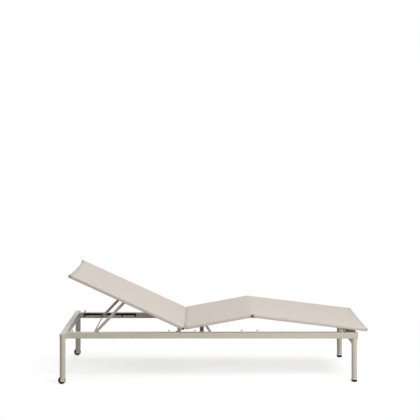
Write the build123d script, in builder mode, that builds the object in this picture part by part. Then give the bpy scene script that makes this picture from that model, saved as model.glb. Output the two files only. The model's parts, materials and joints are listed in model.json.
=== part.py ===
from build123d import *
import os
from math import asin, cos, degrees, radians, sin, sqrt

# Sun lounger with a stretched sling bed in three sections on a low tube frame.
# Millimetres. X runs from the head end to the foot end, Y from the near side to
# the far side, Z up from the floor. The origin is the middle of the footprint.

# Fits and clearances
overrun = 10.0  # how far a cut runs past the face it opens
running_fit = 0.05  # radial clearance of a pin in its hole
slip_gap = 0.3  # between parts that slide, and round the fabric
weld_gap = 0.1  # between a coped tube end and the round leg it meets
plug_fit = 0.15  # radial clearance of a plug in a tube

# Base frame
frame_height = 334.0  # top of the rails above the floor
frame_width = 750.0  # over the outer faces of the side rails
head_frame_width = 870.0  # over the outer sides of the head legs
middle_rail_run = 125.0  # hinge axis to the middle cross rail
rail_width = 38.0
rail_height = 40.0
rail_wall = 2.5
rail_radius = 3.0
middle_rail_width = 28.0
leg_diameter = 38.0
leg_wall = 2.5
leg_cap_thickness = 3.0
leg_cap_depth = 12.0
rail_cap_thickness = 3.0
rail_cap_depth = 15.0

# Feet
glide_height = 10.0
glide_plug_depth = 22.0
glide_pad_diameter = 26.0
glide_edge_radius = 4.5
wheel_diameter = 50.0
wheel_width = 16.0
wheel_core_diameter = 36.0
wheel_hub_diameter = 16.0
wheel_recess = 3.0
wheel_edge_radius = 4.0
wheel_offset = 5.0  # from the leg's axis towards the head end
wheel_side_gap = 1.0
head_leg_clearance = 12.0  # from the floor to the head legs' lower ends
wheel_axle_diameter = 8.0
housing_height = 48.0

# Bed sections
hinge_rise = 27.5  # hinge axis above the rails
back_length = 850.0  # hinge axis to the head end
seat_length = 470.6  # hinge axis to the knee axis
back_rise = 24.65  # degrees above level, as it stands
seat_rise = 10.4  # degrees above level, as it stands
rest_bar_run = 707.0  # knee axis to the bar that the leg section rests on
rest_bar_inset = 76.0  # from that bar to the foot end
rest_bar_overhang = 9.8  # from the foot legs' axis to that bar, towards the foot end
bed_tube_width = 24.0
bed_tube_height = 19.0
bed_tube_radius = 4.0
bed_tube_wall = 2.0
bed_tube_gap = 2.0  # between two side tubes that meet at a pivot
bed_cap_thickness = 3.0
bed_cap_depth = 14.0
cross_bar_diameter = 16.0
cross_bar_wall = 2.0
cross_bar_bow = 30.0  # how far a bowed bar hangs below its ends
back_bar_shares = (0.153, 0.850)  # of the section's length, from its pivot to each bowed bar
seat_bar_shares = (0.202, 0.839)
leg_bar_shares = (0.121, 0.511)

# Fabric
fabric_thickness = 1.2
sling_back_overlap = 5.0  # past the hinge axis, under the seat's edge
sling_seat_start = 9.0
sling_knee_gap = 0.5
sling_end_inset = 5.0  # from the free end of the side tubes
sling_corner_inset = 38.0  # width of the notch beside each pivot
head_scallop = 6.0  # inward curve of the head edge
sleeve_back_start = 12.0
sleeve_seat_start = 20.0
sleeve_knee_gap = 12.0
sleeve_return = 6.0  # inner part of the tube's underside that stays bare

# Pivots at the hinge and the knee
pivot_bolt_diameter = 10.0
pivot_head_diameter = 15.0
pivot_head_height = 5.0
pivot_head_radius = 1.5
pivot_socket_width = 6.0  # across the flats of the socket in a bolt's head
pivot_socket_depth = 2.5
pivot_nut_width = 16.0  # across the flats
pivot_nut_height = 8.0
washer_diameter = 17.0
washer_thickness = 1.0
plate_eye_diameter = 18.0
section_plate_thickness = 5.0
section_plate_length = 70.0
section_plate_height = 15.0
bracket_thickness = 5.0
bracket_heel_run = 41.0  # hinge axis to the bracket's upright edge
bracket_heel_width = 11.0
bracket_heel_height = 30.0
bracket_flange_length = 32.0
bracket_flange_width = 22.0
bracket_flange_thickness = 4.0
screw_diameter = 5.0
screw_head_diameter = 9.0
screw_head_height = 3.0
screw_length = 12.0
screw_spacing = 17.0

# Supports, pairs of struts: the back's has a lower rod that stands in the rail's rack
back_pivot_run = 430.0  # hinge axis to the struts' upper pivot
back_strut_lean = 43.8  # degrees off upright, as it stands
back_strut_top_lean = 5.9  # degrees off upright, with the back at its steepest
rod_drop = 27.0  # from the rails' top down to the struts' lower pivots
strut_side_gap = 4.0  # between a strut and the rail's inner wall
strut_thickness = 8.0
back_strut_width = 19.0
seat_strut_width = 16.0
pivot_rod_diameter = 12.0
support_rod_diameter = 8.0
rod_end_gap = 1.0  # between a rod's end and the rail's inner wall
collar_diameter = 18.0
collar_thickness = 5.0
rack_third_angle = 35.2  # back angle that the third notch gives
rack_slot_height = 16.0
rack_roof = 3.0  # rail wall left above the slot
notch_play = 3.0
notch_seat_gap = 0.5
rack_end_margin = 2.5
rack_head_margin = 32.2  # from the rack's head end to the head cross rail
seat_pivot_run = 146.0
seat_strut_lean = 34.0  # degrees off upright, as it stands

# Rest pegs under the side tubes and rest blocks under the foot end
back_peg_shares = (0.126, 0.931)  # of the way from the hinge axis to the head legs
seat_peg_shares = (0.157, 0.827)  # of the way from the hinge axis to the knee
leg_peg_shares = (0.034, 0.847)  # of the way from the knee to the rest bar, with the bed flat
peg_length = 9.0
peg_thickness = 10.0
peg_lean = 6.0
peg_saddle_reach = 12.0
peg_saddle_thickness = 4.0
rest_block_length = 30.0
rest_block_width = 30.0
rest_block_top_width = 22.0
rest_block_spread = 500.0  # between the two blocks' middles

# Side positions, measured from the middle of the bed, which is as wide as the frame
rail_y = (frame_width - rail_width) / 2
rail_inner_y = frame_width / 2 - rail_width
head_leg_y = (head_frame_width - leg_diameter) / 2
foot_leg_y = (frame_width - leg_diameter) / 2
tube_outer_y = frame_width / 2 - fabric_thickness - slip_gap
tube_inner_y = tube_outer_y - bed_tube_width
tube_y = (tube_outer_y + tube_inner_y) / 2
plate_outer_y = tube_inner_y - washer_thickness
plate_inner_y = plate_outer_y - section_plate_thickness
bracket_outer_y = plate_inner_y - washer_thickness
bracket_inner_y = bracket_outer_y - bracket_thickness
strut_y = rail_inner_y - strut_side_gap - strut_thickness / 2

# Heights
hinge_height = frame_height + hinge_rise
rod_height = frame_height - rod_drop
rail_z = frame_height - rail_height / 2
rail_bottom = frame_height - rail_height
tube_half = bed_tube_height / 2
fabric_low = tube_half + slip_gap
fabric_high = fabric_low + fabric_thickness
peg_top = hinge_height - fabric_high - slip_gap

# The leg section slopes so that its rest bar is as high as the hinge, flat and as it stands
leg_length = rest_bar_run + rest_bar_inset
leg_drop = degrees(asin(seat_length * sin(radians(seat_rise)) / rest_bar_run))

# Struts from their pivots on the sections down to the lower rods
back_strut_rise = hinge_height - rod_height + back_pivot_run * sin(radians(back_rise))
back_strut_length = back_strut_rise / cos(radians(back_strut_lean))
back_top_rise = back_strut_length * cos(radians(back_strut_top_lean))
back_top_angle = degrees(asin((back_top_rise - hinge_height + rod_height) / back_pivot_run))
rack_angles = (0.0, back_rise, rack_third_angle, back_top_angle)  # back angles of the notches
seat_strut_rise = hinge_height - rod_height + seat_pivot_run * sin(radians(seat_rise))
seat_strut_length = seat_strut_rise / cos(radians(seat_strut_lean))


def rod_run(angle):
    """How far from the hinge axis the back support's lower rod stands with the back at an angle."""
    rise = hinge_height - rod_height + back_pivot_run * sin(radians(angle))
    return back_pivot_run * cos(radians(angle)) + sqrt(back_strut_length**2 - rise**2)


# Lengthwise positions, set so that the footprint's middle is the origin
rod_reach = support_rod_diameter / 2 + rack_end_margin
head_leg_run = rod_run(rack_angles[0]) + rod_reach + rack_head_margin + rail_width / 2
foot_leg_run = (
    seat_length * cos(radians(seat_rise))
    + rest_bar_run * cos(radians(leg_drop))
    - rest_bar_overhang
)
head_reach = head_leg_run + wheel_offset + wheel_diameter / 2
foot_reach = (
    seat_length * cos(radians(seat_rise))
    + leg_length * cos(radians(leg_drop))
    + tube_half * sin(radians(leg_drop))
)
hinge_x = (head_reach - foot_reach) / 2
head_leg_x = hinge_x - head_leg_run
foot_leg_x = hinge_x + foot_leg_run
wheel_x = head_leg_x - wheel_offset
rail_start = head_leg_x + rail_width / 2
rail_end = foot_leg_x + leg_diameter / 2
flat_knee_x = hinge_x + seat_length
knee_x = hinge_x + seat_length * cos(radians(seat_rise))
knee_z = hinge_height + seat_length * sin(radians(seat_rise))
rest_bar_x = knee_x + rest_bar_run * cos(radians(leg_drop))
rest_bar_flat_x = flat_knee_x + rest_bar_run

both_sides = (("near", -1), ("far", 1))


def bed_plane(x, z, angle, towards):
    """Plane of a bed section: x runs along it from its pivot, z is its upper side."""
    along = (towards * cos(radians(angle)), 0, sin(radians(angle)))
    upward = (-towards * sin(radians(angle)), 0, cos(radians(angle)))
    return Plane(origin=(x, 0, z), x_dir=along, z_dir=upward)


back_plane = bed_plane(hinge_x, hinge_height, back_rise, -1)
seat_plane = bed_plane(hinge_x, hinge_height, seat_rise, 1)
leg_plane = bed_plane(knee_x, knee_z, -leg_drop, 1)


def cross_plane(section, run, y=0.0):
    """Plane square to a bed section at a distance from its pivot and a side position, y up."""
    origin = section.from_local_coords((run, 0, 0)) + Vector(0, y, 0)
    return Plane(origin=origin, x_dir=section.y_dir, z_dir=section.x_dir)


def side_plane(section, y):
    """Upright plane through a bed section's pivot at a side position, x along the section."""
    origin = section.origin + Vector(0, y, 0)
    return Plane(origin=origin, x_dir=section.x_dir, z_dir=section.x_dir.cross(section.z_dir))


def upright_plane(y, x=0.0, z=0.0):
    """Upright plane at a side position, x to the foot end and y up."""
    return Plane(origin=(x, y, z), x_dir=(1, 0, 0), z_dir=(0, -1, 0))


def save(part, name):
    part.label = name
    export_step(part, f"parts/{name}.step")


os.makedirs("parts", exist_ok=True)


# Base frame tubes

flange_x = hinge_x - bracket_heel_run + bracket_heel_width / 2
flange_y = bracket_inner_y + bracket_flange_width / 2
screw_y = (bracket_outer_y + bracket_inner_y + bracket_flange_width) / 2
screw_places = (flange_x - screw_spacing / 2, flange_x + screw_spacing / 2)


def side_rail(sign):
    """Long rail with a rack of notches in its inner wall for the back support's rod."""
    with BuildPart() as rail:
        with BuildSketch(Plane.YZ.offset(rail_start)):
            with Locations((sign * rail_y, rail_z)):
                RectangleRounded(rail_width, rail_height, rail_radius)
                Rectangle(rail_width - 2 * rail_wall, rail_height - 2 * rail_wall, mode=Mode.SUBTRACT)
        extrude(amount=rail_end - rail_cap_thickness - rail_start)
        inner = upright_plane(sign * rail_inner_y)
        slot_top = frame_height - rack_roof
        slot_bottom = slot_top - rack_slot_height
        notches = [hinge_x - rod_run(angle) for angle in rack_angles]
        slot_ends = [notches[0] - rod_reach, notches[-1] + rod_reach]
        with BuildSketch(inner):
            with Locations(((slot_ends[0] + slot_ends[1]) / 2, (slot_top + slot_bottom) / 2)):
                Rectangle(slot_ends[1] - slot_ends[0], rack_slot_height)
            for notch in notches:
                notch_width = support_rod_diameter + notch_play
                notch_z = rod_height - support_rod_diameter / 2 - notch_seat_gap + notch_width / 2
                with Locations((notch, notch_z)):
                    Circle(notch_width / 2)
                with Locations((notch, (notch_z + slot_top) / 2)):
                    Rectangle(notch_width, slot_top - notch_z)
        extrude(amount=rail_width / 2, both=True, mode=Mode.SUBTRACT)
        with BuildSketch(Plane.XY.offset(frame_height)):
            with Locations(*[(x, sign * screw_y) for x in screw_places]):
                Circle(screw_diameter / 2 + running_fit)
        extrude(amount=-rail_height / 2, mode=Mode.SUBTRACT)
    return rail.part


for side, sign in both_sides:
    save(side_rail(sign), f"side_rail_{side}")


def coped_rail(x, z, leg_y):
    """Cross rail between two round legs, its ends cut to the legs' curve."""
    with BuildPart() as rail:
        with BuildSketch(upright_plane(0, x, z)):
            RectangleRounded(rail_width, rail_height, rail_radius)
            Rectangle(rail_width - 2 * rail_wall, rail_height - 2 * rail_wall, mode=Mode.SUBTRACT)
        extrude(amount=leg_y, both=True)
        with BuildSketch(Plane.XY.offset(z)):
            with Locations((x, -leg_y), (x, leg_y)):
                Circle(leg_diameter / 2 + weld_gap)
        extrude(amount=rail_height, both=True, mode=Mode.SUBTRACT)
    return rail.part


save(coped_rail(head_leg_x, rail_z, head_leg_y), "head_cross_rail")
save(coped_rail(foot_leg_x, rail_bottom - rail_height / 2, foot_leg_y), "foot_cross_rail")

with BuildPart() as middle_cross_rail:
    with BuildSketch(upright_plane(0, hinge_x + middle_rail_run, rail_z)):
        RectangleRounded(middle_rail_width, rail_height, rail_radius)
        Rectangle(middle_rail_width - 2 * rail_wall, rail_height - 2 * rail_wall, mode=Mode.SUBTRACT)
    extrude(amount=rail_inner_y, both=True)
save(middle_cross_rail.part, "middle_cross_rail")


def tube_leg(x, y, bottom, top):
    with BuildPart() as leg:
        with BuildSketch(Plane.XY.offset(bottom)):
            with Locations((x, y)):
                Circle(leg_diameter / 2)
                Circle(leg_diameter / 2 - leg_wall, mode=Mode.SUBTRACT)
        extrude(amount=top - bottom)
    return leg.part


wheel_slot_width = wheel_width + 2 * wheel_side_gap
wheel_radius = wheel_diameter / 2
wheel_slot_top = wheel_diameter + wheel_side_gap
leg_bore = leg_diameter / 2 - leg_wall


def head_leg(y):
    """Round leg whose lower end is open to the head and the foot for its wheel."""
    with BuildPart() as leg:
        add(tube_leg(head_leg_x, y, head_leg_clearance, frame_height - leg_cap_thickness))
        with BuildSketch(Plane.XY.offset(head_leg_clearance)):
            with Locations((head_leg_x, y)):
                Rectangle(leg_diameter + overrun, wheel_slot_width)
        extrude(amount=wheel_slot_top - head_leg_clearance, mode=Mode.SUBTRACT)
        with BuildSketch(upright_plane(y, wheel_x, wheel_radius)):
            Circle(wheel_axle_diameter / 2 + running_fit)
        extrude(amount=leg_diameter, both=True, mode=Mode.SUBTRACT)
    return leg.part


for side, sign in both_sides:
    save(head_leg(sign * head_leg_y), f"head_leg_{side}")
    save(tube_leg(foot_leg_x, sign * foot_leg_y, glide_height, rail_bottom), f"foot_leg_{side}")

with BuildPart() as head_leg_caps:
    with BuildSketch(Plane.XY.offset(frame_height - leg_cap_thickness)):
        with Locations((head_leg_x, -head_leg_y), (head_leg_x, head_leg_y)):
            Circle(leg_diameter / 2)
    extrude(amount=leg_cap_thickness)
    with BuildSketch(Plane.XY.offset(frame_height - leg_cap_thickness)):
        with Locations((head_leg_x, -head_leg_y), (head_leg_x, head_leg_y)):
            Circle(leg_bore - plug_fit)
    extrude(amount=-leg_cap_depth)
save(head_leg_caps.part, "head_leg_caps")

with BuildPart() as rail_end_caps:
    with BuildSketch(Plane.YZ.offset(rail_end - rail_cap_thickness)):
        with Locations((-rail_y, rail_z), (rail_y, rail_z)):
            RectangleRounded(rail_width, rail_height, rail_radius)
    extrude(amount=rail_cap_thickness)
    with BuildSketch(Plane.YZ.offset(rail_end - rail_cap_thickness)):
        with Locations((-rail_y, rail_z), (rail_y, rail_z)):
            rail_shrink = 2 * (rail_wall + plug_fit)
            Rectangle(rail_width - rail_shrink, rail_height - rail_shrink)
    extrude(amount=-rail_cap_depth)
save(rail_end_caps.part, "rail_end_caps")


# Feet: domed glides at the foot end, wheels in housings at the head end

with BuildPart() as foot_glides:
    with BuildSketch(Plane.XY):
        with Locations((foot_leg_x, -foot_leg_y), (foot_leg_x, foot_leg_y)):
            Circle(leg_diameter / 2)
    extrude(amount=glide_height)
    low_rims = foot_glides.edges().group_by(Axis.Z)[0]
    chamfer(low_rims, length=glide_edge_radius, length2=(leg_diameter - glide_pad_diameter) / 2)
    with BuildSketch(Plane.XY.offset(glide_height)):
        with Locations((foot_leg_x, -foot_leg_y), (foot_leg_x, foot_leg_y)):
            Circle(leg_bore - plug_fit)
    extrude(amount=glide_plug_depth)
save(foot_glides.part, "foot_glides")

with BuildPart() as wheel_housings:
    with BuildSketch(Plane.XY.offset(head_leg_clearance)):
        with Locations((head_leg_x, -head_leg_y), (head_leg_x, head_leg_y)):
            Circle(leg_bore - plug_fit)
    extrude(amount=housing_height)
    with BuildSketch(Plane.XY.offset(head_leg_clearance)):
        with Locations((head_leg_x, -head_leg_y), (head_leg_x, head_leg_y)):
            Rectangle(leg_diameter, wheel_slot_width)
    extrude(amount=wheel_slot_top - head_leg_clearance, mode=Mode.SUBTRACT)
    with BuildSketch(upright_plane(0, wheel_x, wheel_radius)):
        Circle(wheel_axle_diameter / 2 + running_fit)
    extrude(amount=head_frame_width, both=True, mode=Mode.SUBTRACT)
save(wheel_housings.part, "wheel_housings")

axle_half = sqrt((leg_diameter / 2) ** 2 - wheel_offset**2)
with BuildPart() as wheel_axles:
    for y in (-head_leg_y, head_leg_y):
        with BuildSketch(upright_plane(y, wheel_x, wheel_radius)):
            Circle(wheel_axle_diameter / 2)
        extrude(amount=axle_half, both=True)
save(wheel_axles.part, "wheel_axles")


def wheel_core(y):
    """Moulded core: a hub and a rim joined by a thinner web."""
    with BuildPart() as core:
        with BuildSketch(upright_plane(y, wheel_x, wheel_radius)):
            Circle(wheel_core_diameter / 2)
            Circle(wheel_axle_diameter / 2 + running_fit, mode=Mode.SUBTRACT)
        extrude(amount=wheel_width / 2, both=True)
        for face in (-1, 1):
            with BuildSketch(upright_plane(y + face * wheel_width / 2, wheel_x, wheel_radius)):
                Circle(wheel_core_diameter / 2 - wheel_recess)
                Circle(wheel_hub_diameter / 2, mode=Mode.SUBTRACT)
            extrude(amount=wheel_recess, both=True, mode=Mode.SUBTRACT)
    return core.part


def wheel_tyre(y):
    with BuildPart() as tyre:
        with BuildSketch(upright_plane(y, wheel_x, wheel_radius)):
            Circle(wheel_radius)
        extrude(amount=wheel_width / 2, both=True)
        fillet(tyre.edges(), radius=wheel_edge_radius)
        with BuildSketch(upright_plane(y, wheel_x, wheel_radius)):
            Circle(wheel_core_diameter / 2 + running_fit)
        extrude(amount=wheel_width, both=True, mode=Mode.SUBTRACT)
    return tyre.part


for side, sign in both_sides:
    save(wheel_core(sign * head_leg_y), f"wheel_core_{side}")
    save(wheel_tyre(sign * head_leg_y), f"wheel_tyre_{side}")


# Rests for the bed: pegs on the side rails and blocks on the foot cross rail

peg_places = (
    [hinge_x - share * head_leg_run for share in back_peg_shares]
    + [hinge_x + share * seat_length for share in seat_peg_shares]
    + [flat_knee_x + share * rest_bar_run for share in leg_peg_shares]
)

# Each peg leans towards the foot end and has a saddle that reaches in under the side tube
peg_saddle_share = peg_saddle_thickness / (peg_top - frame_height)
saddle_lean = peg_lean * (1 - peg_saddle_share)
with BuildPart() as rest_pegs:
    for side, sign in both_sides:
        blade_y = sign * (frame_width / 2 - peg_thickness / 2)
        saddle_y = sign * (frame_width / 2 - peg_thickness / 2 - peg_saddle_reach / 2)
        for x in peg_places:
            low, high = x - peg_length / 2, x + peg_length / 2
            with BuildSketch(upright_plane(blade_y)):
                with BuildLine():
                    Polyline(
                        (low, frame_height),
                        (high, frame_height),
                        (high + peg_lean, peg_top),
                        (low + peg_lean, peg_top),
                        close=True,
                    )
                make_face()
            extrude(amount=peg_thickness / 2, both=True)
            with BuildSketch(upright_plane(saddle_y)):
                with BuildLine():
                    Polyline(
                        (low + saddle_lean, peg_top - peg_saddle_thickness),
                        (high + saddle_lean, peg_top - peg_saddle_thickness),
                        (high + peg_lean, peg_top),
                        (low + peg_lean, peg_top),
                        close=True,
                    )
                make_face()
            extrude(amount=(peg_thickness + peg_saddle_reach) / 2, both=True)
save(rest_pegs.part, "rest_pegs")

block_top = hinge_height - cross_bar_diameter / 2 - slip_gap
block_x = (rest_bar_x + rest_bar_flat_x) / 2
with BuildPart() as leg_rest_blocks:
    block_seats = [(block_x, y) for y in (-rest_block_spread / 2, rest_block_spread / 2)]
    for seat in block_seats:
        with BuildSketch(Plane.XY.offset(rail_bottom)):
            with Locations((foot_leg_x, seat[1])):
                Rectangle(rest_block_length, rest_block_width)
        with BuildSketch(Plane.XY.offset(block_top)):
            with Locations(seat):
                Rectangle(rest_block_length, rest_block_top_width)
        loft()
save(leg_rest_blocks.part, "leg_rest_blocks")


# Hinge brackets on the side rails, with their screws and the main pivot bolts


def hinge_bracket(sign):
    """Upright plate with an eye on the hinge axis and a flange on the rail."""
    middle_y = sign * (bracket_outer_y + bracket_inner_y) / 2
    heel = hinge_x - bracket_heel_run
    with BuildPart() as bracket:
        with BuildSketch(upright_plane(middle_y)) as plate:
            with BuildLine():
                Polyline(
                    (heel, frame_height),
                    (heel + bracket_heel_width, frame_height),
                    (heel, frame_height + bracket_heel_height),
                    close=True,
                )
            make_face()
            with Locations((hinge_x, hinge_height)):
                Circle(plate_eye_diameter / 2)
            make_hull(plate.edges())
            with Locations((hinge_x, hinge_height)):
                Circle(pivot_bolt_diameter / 2 + running_fit, mode=Mode.SUBTRACT)
        extrude(amount=bracket_thickness / 2, both=True)
        with BuildSketch(Plane.XY.offset(frame_height)):
            with Locations((flange_x, sign * flange_y)):
                Rectangle(bracket_flange_length, bracket_flange_width)
            with Locations(*[(x, sign * screw_y) for x in screw_places]):
                Circle(screw_diameter / 2 + running_fit, mode=Mode.SUBTRACT)
        extrude(amount=bracket_flange_thickness)
    return bracket.part


hinge_brackets = hinge_bracket(-1) + hinge_bracket(1)
save(hinge_brackets, "hinge_brackets")

screw_seats = [(x, sign * screw_y) for x in screw_places for side, sign in both_sides]
flange_top = frame_height + bracket_flange_thickness
with BuildPart() as bracket_screws:
    with BuildSketch(Plane.XY.offset(flange_top)):
        with Locations(*screw_seats):
            Circle(screw_head_diameter / 2)
    extrude(amount=screw_head_height)
    with BuildSketch(Plane.XY.offset(flange_top)):
        with Locations(*screw_seats):
            Circle(screw_diameter / 2)
    extrude(amount=-screw_length)
save(bracket_screws.part, "bracket_screws")


def pivot_bolts(x, z, head_seat, shank_end):
    """Round-headed bolts from outside the side tubes, one on each side."""
    with BuildPart() as bolts:
        for side, sign in both_sides:
            with BuildSketch(upright_plane(sign * (head_seat + shank_end) / 2, x, z)):
                Circle(pivot_bolt_diameter / 2)
            extrude(amount=(head_seat - shank_end) / 2, both=True)
            with BuildSketch(upright_plane(sign * (head_seat + pivot_head_height / 2), x, z)):
                Circle(pivot_head_diameter / 2)
            extrude(amount=pivot_head_height / 2, both=True)
            with BuildSketch(upright_plane(sign * (head_seat + pivot_head_height), x, z)):
                RegularPolygon(pivot_socket_width / 2, side_count=6, major_radius=False)
            extrude(amount=pivot_socket_depth, both=True, mode=Mode.SUBTRACT)
        head_rims = [
            rim
            for rim in bolts.edges().filter_by(GeomType.CIRCLE)
            if abs(rim.arc_center.Y) > head_seat + pivot_head_height / 2
        ]
        fillet(head_rims, radius=pivot_head_radius)
    return bolts.part


def pivot_nuts(x, z, outer_y):
    with BuildPart() as nuts:
        for side, sign in both_sides:
            with BuildSketch(upright_plane(sign * (outer_y - pivot_nut_height / 2), x, z)):
                RegularPolygon(pivot_nut_width / 2, side_count=6, major_radius=False)
                Circle(pivot_bolt_diameter / 2 + running_fit, mode=Mode.SUBTRACT)
            extrude(amount=pivot_nut_height / 2, both=True)
    return nuts.part


def pivot_washers(x, z, outer_faces):
    with BuildPart() as washers:
        for face in outer_faces:
            for side, sign in both_sides:
                with BuildSketch(upright_plane(sign * (face - washer_thickness / 2), x, z)):
                    Circle(washer_diameter / 2)
                    Circle(pivot_bolt_diameter / 2 + running_fit, mode=Mode.SUBTRACT)
                extrude(amount=washer_thickness / 2 - running_fit, both=True)
    return washers.part


hinge_shank_end = bracket_inner_y - pivot_nut_height
knee_nut_face = plate_inner_y - slip_gap
save(pivot_bolts(hinge_x, hinge_height, tube_outer_y + slip_gap, hinge_shank_end), "hinge_bolts")
save(pivot_nuts(hinge_x, hinge_height, bracket_inner_y), "hinge_nuts")
save(pivot_washers(hinge_x, hinge_height, (tube_inner_y, plate_inner_y)), "hinge_washers")
save(pivot_bolts(knee_x, knee_z, tube_outer_y, knee_nut_face - pivot_nut_height), "knee_bolts")
save(pivot_nuts(knee_x, knee_z, knee_nut_face), "knee_nuts")
save(pivot_washers(knee_x, knee_z, (tube_inner_y,)), "knee_washers")


# Side tubes of the three bed sections


def tube_outline():
    RectangleRounded(bed_tube_width, bed_tube_height, bed_tube_radius)


def tube_hollow():
    Rectangle(bed_tube_width - 2 * bed_tube_wall, bed_tube_height - 2 * bed_tube_wall)


tube_start = tube_half + bed_tube_gap
bolt_hole = pivot_bolt_diameter / 2 + running_fit


def side_tube(section, y, start, end, eye_run=None):
    """Hollow side tube between two distances from the pivot, with a solid round eye at one end."""
    with BuildPart() as tube:
        with BuildSketch(cross_plane(section, start, y)):
            tube_outline()
        extrude(amount=end - start)
        hollow_start, hollow_end = start, end
        if eye_run is not None:
            eye_section = cross_plane(section, eye_run, y)
            with BuildSketch(eye_section):
                tube_outline()
                with Locations((0, -tube_half)):
                    Rectangle(bed_tube_width, bed_tube_height, mode=Mode.SUBTRACT)
            turn = eye_section.x_dir * (1 if eye_run > start else -1)
            revolve(axis=Axis(eye_section.origin, turn), revolution_arc=180)
            with BuildSketch(side_plane(section, y)):
                with Locations((eye_run, 0)):
                    Circle(bolt_hole)
            extrude(amount=bed_tube_width, both=True, mode=Mode.SUBTRACT)
            if eye_run > start:
                hollow_end = eye_run - tube_start
            else:
                hollow_start = eye_run + tube_start
        with BuildSketch(cross_plane(section, hollow_start, y)):
            tube_hollow()
        extrude(amount=hollow_end - hollow_start, mode=Mode.SUBTRACT)
    return tube.part


def tube_caps(section, end):
    """End plates with plugs for the two open tube ends of a section."""
    with BuildPart() as caps:
        for side, sign in both_sides:
            with BuildSketch(cross_plane(section, end - bed_cap_thickness, sign * tube_y)):
                tube_outline()
            extrude(amount=bed_cap_thickness)
            with BuildSketch(cross_plane(section, end - bed_cap_thickness, sign * tube_y)):
                shrink = 2 * (bed_tube_wall + plug_fit)
                Rectangle(bed_tube_width - shrink, bed_tube_height - shrink)
            extrude(amount=-bed_cap_depth)
    return caps.part


for side, sign in both_sides:
    y = sign * tube_y
    save(side_tube(back_plane, y, 0, back_length - bed_cap_thickness, 0), f"back_tube_{side}")
    save(side_tube(seat_plane, y, tube_start, seat_length, seat_length), f"seat_tube_{side}")
    save(side_tube(leg_plane, y, tube_start, leg_length - bed_cap_thickness), f"leg_tube_{side}")
save(tube_caps(back_plane, back_length), "back_tube_caps")
save(tube_caps(leg_plane, leg_length), "leg_tube_caps")


def section_plates(section, eye_run, pad_from):
    """Plates on the inner faces of the side tubes, with an eye beyond the tube's end."""
    pad_middle = pad_from + (section_plate_length - tube_start) / 2
    with BuildPart() as plates:
        for side, sign in both_sides:
            eye_y = sign * (plate_outer_y + plate_inner_y) / 2
            with BuildSketch(side_plane(section, eye_y)):
                with Locations((pad_middle, 0)):
                    Rectangle(section_plate_length - tube_start, section_plate_height)
                with Locations(((pad_middle + eye_run) / 2, 0)):
                    Rectangle(abs(pad_middle - eye_run), section_plate_height)
                with Locations((eye_run, 0)):
                    Circle(plate_eye_diameter / 2)
                    Circle(bolt_hole, mode=Mode.SUBTRACT)
            extrude(amount=section_plate_thickness / 2, both=True)
            pad_y = sign * (tube_inner_y + plate_inner_y) / 2
            with BuildSketch(side_plane(section, pad_y)):
                with Locations((pad_middle, 0)):
                    Rectangle(section_plate_length - tube_start, section_plate_height)
            extrude(amount=(tube_inner_y - plate_inner_y) / 2, both=True)
    return plates.part


save(section_plates(seat_plane, 0, tube_start), "seat_hinge_plates")
save(section_plates(leg_plane, 0, tube_start), "leg_knee_plates")


# Cross bars and pivot rods of the bed sections

bow_radius = (tube_inner_y**2 + cross_bar_bow**2) / (2 * cross_bar_bow)
bow_angle = degrees(asin((tube_inner_y + overrun) / bow_radius))


def bowed_bar(section, run):
    """Cross bar that hangs in an arc below the sling, cut off at the side tubes."""
    with BuildPart() as bar:
        with BuildLine(cross_plane(section, run)):
            arc = CenterArc((0, bow_radius - cross_bar_bow), bow_radius, 270 - bow_angle, 2 * bow_angle)
        with BuildSketch(arc ^ 0):
            Circle(cross_bar_diameter / 2)
            Circle(cross_bar_diameter / 2 - cross_bar_wall, mode=Mode.SUBTRACT)
        sweep()
        split(bisect_by=Plane(origin=(0, tube_inner_y, 0), z_dir=(0, 1, 0)), keep=Keep.BOTTOM)
        split(bisect_by=Plane(origin=(0, -tube_inner_y, 0), z_dir=(0, 1, 0)), keep=Keep.TOP)
    return bar.part


def straight_bar(section, run, diameter, wall=0.0):
    with BuildPart() as bar:
        with BuildSketch(side_plane(section, 0)):
            with Locations((run, 0)):
                Circle(diameter / 2)
                if wall:
                    Circle(diameter / 2 - wall, mode=Mode.SUBTRACT)
        extrude(amount=tube_inner_y, both=True)
    return bar.part


save(bowed_bar(back_plane, back_bar_shares[0] * back_length), "back_lower_bar")
save(bowed_bar(back_plane, back_bar_shares[1] * back_length), "back_upper_bar")
save(bowed_bar(seat_plane, seat_bar_shares[0] * seat_length), "seat_rear_bar")
save(bowed_bar(seat_plane, seat_bar_shares[1] * seat_length), "seat_front_bar")
save(bowed_bar(leg_plane, leg_bar_shares[0] * leg_length), "leg_upper_bar")
save(bowed_bar(leg_plane, leg_bar_shares[1] * leg_length), "leg_lower_bar")
save(straight_bar(leg_plane, rest_bar_run, cross_bar_diameter, cross_bar_wall), "leg_rest_bar")
save(straight_bar(back_plane, back_pivot_run, pivot_rod_diameter), "back_pivot_rod")
save(straight_bar(seat_plane, seat_pivot_run, pivot_rod_diameter), "seat_pivot_rod")


def rod_collars(section, run):
    """Collars on a pivot rod, one on each side of each strut."""
    reach = (strut_thickness + collar_thickness) / 2 + slip_gap
    with BuildPart() as collars:
        for side, sign in both_sides:
            for y in (sign * (strut_y - reach), sign * (strut_y + reach)):
                with BuildSketch(side_plane(section, y)):
                    with Locations((run, 0)):
                        Circle(collar_diameter / 2)
                        Circle(pivot_rod_diameter / 2 + running_fit, mode=Mode.SUBTRACT)
                extrude(amount=collar_thickness / 2, both=True)
    return collars.part


save(rod_collars(back_plane, back_pivot_run), "back_rod_collars")
save(rod_collars(seat_plane, seat_pivot_run), "seat_rod_collars")


# Supports: flat struts between a pivot rod on the section and a lower rod or pins


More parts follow.
